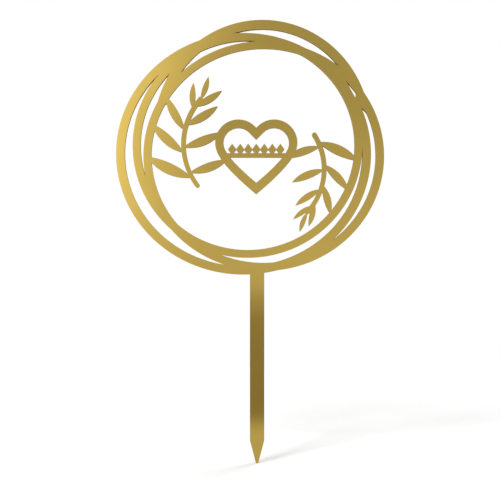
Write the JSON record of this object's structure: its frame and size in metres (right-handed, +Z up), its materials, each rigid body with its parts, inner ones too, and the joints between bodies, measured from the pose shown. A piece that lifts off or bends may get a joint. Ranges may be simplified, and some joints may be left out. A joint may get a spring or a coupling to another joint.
{
  "type": "cake topper",
  "caption": "Flat gold mirror cake topper: overlapping hoops round a heart with leafy sprigs, on a pointed stake that is pushed into the cake.",
  "frame": {"origin": "on the stake's middle line, half through the thickness, at the level of the cake's top", "axes": "+Z up along the stake, +X to the right as seen from the front, front mirror face towards -Y"},
  "size_m": [0.1403, 0.003, 0.232],
  "materials": {
    "gold_mirror": "polished gold mirror skin, faintly wavy",
    "amber_core": "laser-cut acrylic, satin amber edges with fine striations",
    "back_lacquer": "satin bronze backing lacquer"
  },
  "bodies": {
    "root": {"left_hoop": "amber_core", "top_arc": "amber_core", "right_hoop": "amber_core", "inner_hoop": "amber_core", "heart_frame": "amber_core", "heart_bar": "amber_core", "diamond_trim": "amber_core", "left_sprig": "amber_core", "right_sprig": "amber_core", "stake": "amber_core", "mirror_face": "gold_mirror", "back_coat": "back_lacquer"}
  },
  "joints": []
}
